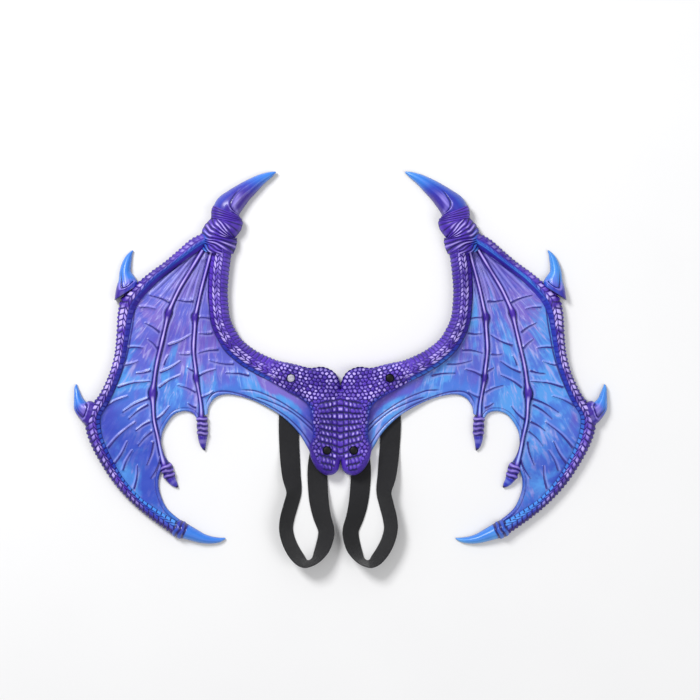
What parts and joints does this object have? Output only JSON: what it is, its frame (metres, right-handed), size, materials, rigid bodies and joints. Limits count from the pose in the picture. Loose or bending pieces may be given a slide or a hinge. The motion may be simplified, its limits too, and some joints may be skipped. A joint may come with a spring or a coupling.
{
  "type": "dragon wings",
  "caption": "Costume dragon wings in one soft foam moulding, with ringed claws, boned and veined membranes, a scaly centre pad and elastic shoulder straps.",
  "frame": {"origin": "under the middle of the whole part, on the surface that it lies on", "axes": "+X to the right as the relief is seen, along the span; +Y up towards the thumb claws; +Z out of the relief"},
  "size_m": [0.799, 0.5926, 0.0294],
  "materials": {
    "foam": "moulded foam skin with a satin pearl paint in blue and purple",
    "elastic": "woven elastic band, matt",
    "cap_black": "smooth black",
    "cap_pale": "smooth pale grey"
  },
  "bodies": {
    "root": {"wings": "foam", "left_strap": "elastic", "right_strap": "elastic", "left_upper_fixing": "cap_pale", "left_upper_washer": "cap_black", "left_lower_fixing": "cap_black", "left_lower_washer": "cap_black", "right_upper_fixing": "cap_black", "right_upper_washer": "cap_black", "right_lower_fixing": "cap_black", "right_lower_washer": "cap_black"}
  },
  "joints": []
}
